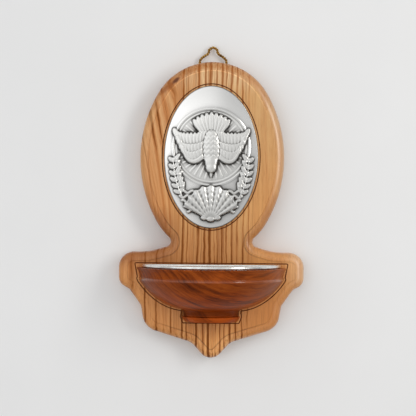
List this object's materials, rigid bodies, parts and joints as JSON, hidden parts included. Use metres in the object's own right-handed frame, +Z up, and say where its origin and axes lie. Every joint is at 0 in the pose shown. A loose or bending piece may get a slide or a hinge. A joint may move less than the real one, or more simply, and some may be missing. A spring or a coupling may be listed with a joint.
{
  "type": "holy water stoup",
  "caption": "Wall holy water stoup: shaped wooden board with an embossed oval plaque, a turned half bowl with a lift-out metal cup, and a swinging wire hanger.",
  "frame": {"origin": "on the board's back face, level with the middle of its oval", "axes": "+X to the viewer's right, +Y into the wall, +Z up along the board"},
  "size_m": [0.1096, 0.059, 0.1857],
  "materials": {
    "olive_wood": "satin varnish",
    "red_wood": "semi-gloss varnish",
    "silver_foil": "polished with oxidised recesses",
    "cup_steel": "satin",
    "brass": "aged",
    "screw_zinc": "yellow zinc plate",
    "filler_resin": "matt",
    "adhesive_pad": "matt"
  },
  "bodies": {
    "stoup": {"back_board": "olive_wood", "plaque_face": "silver_foil", "plaque_core": "filler_resin", "plaque_adhesive": "adhesive_pad", "bowl_shell": "red_wood", "hanger_strap": "brass", "hanger_nail_left": "brass", "hanger_nail_right": "brass", "bowl_screw_left": "screw_zinc", "bowl_screw_right": "screw_zinc"},
    "cup": {"bowl_liner": "cup_steel"},
    "hanger": {"hanger_loop": "brass"}
  },
  "joints": [
    {"name": "hanger_swing", "type": "hinge", "parent": "stoup", "child": "hanger", "pos_m": [0, -0.0018, 0.0475], "axis": [-1, 0, 0], "range_deg": [-3, 162]},
    {"name": "cup_lift", "type": "slide", "parent": "stoup", "child": "cup", "axis": [0, 0, 1], "range_m": [0, 0.03]}
  ]
}
